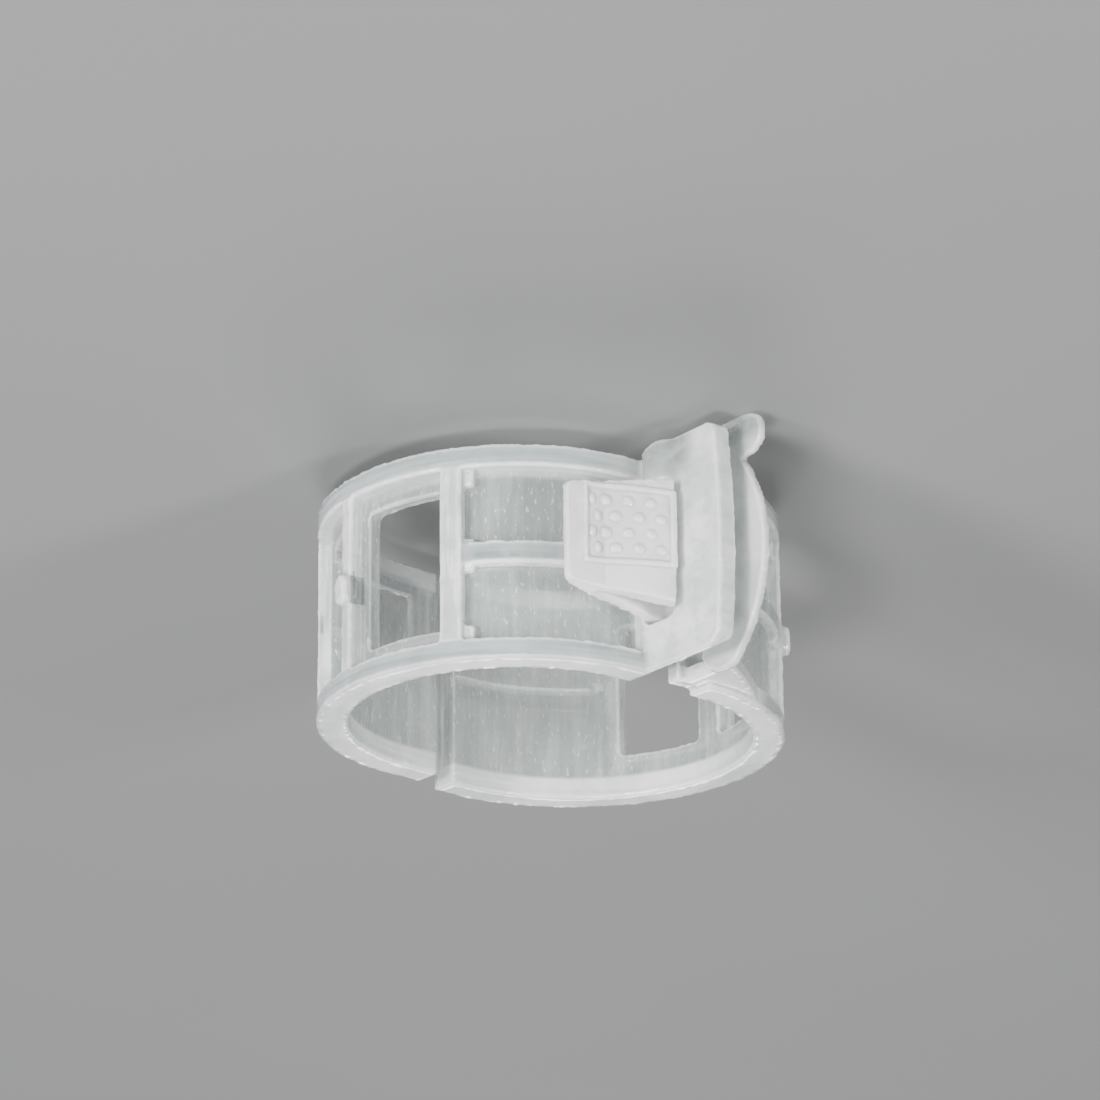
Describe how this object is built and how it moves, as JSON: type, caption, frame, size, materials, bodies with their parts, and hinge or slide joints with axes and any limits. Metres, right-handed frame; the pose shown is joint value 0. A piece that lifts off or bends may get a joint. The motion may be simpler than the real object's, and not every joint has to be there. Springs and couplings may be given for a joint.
{
  "type": "orchid clip",
  "caption": "Small milky plastic stem clip: windowed channel half rings on a strap hinge, held closed by a sprung barbed hook passed through a slotted plate.",
  "frame": {"origin": "on the bore axis of the keeper half ring, at that half's lower rim", "axes": "+Z along the ring's axis, away from the release tab; +X from the hinge to the latch; +Y to the keeper half"},
  "size_m": [0.0252, 0.0234, 0.0122],
  "materials": {
    "milky_plastic": "satin, slightly translucent natural polypropylene"
  },
  "bodies": {
    "keeper_half": {"keeper_band": "milky_plastic", "keeper_plate": "milky_plastic", "keeper_strap": "milky_plastic"},
    "hook_half": {"hook_band": "milky_plastic", "hook_strap": "milky_plastic", "thumb_disc": "milky_plastic", "low_gusset": "milky_plastic", "high_gusset": "milky_plastic", "release_tab": "milky_plastic", "hook_leg": "milky_plastic"},
    "hook_wing": {"hook_pad": "milky_plastic"}
  },
  "joints": [
    {"name": "ring_hinge", "type": "hinge", "parent": "keeper_half", "child": "hook_half", "pos_m": [-0.0095, -0.0021, 0.0053], "axis": [0, 0, -1], "range_deg": [0, 150]},
    {"name": "pad_flex", "type": "hinge", "parent": "hook_half", "child": "hook_wing", "pos_m": [0.01025, 0.00351, 0.00505], "axis": [0, 0, 1], "range_deg": [-20.5, 0], "stiffness_Nm_per_rad": 0.01}
  ]
}
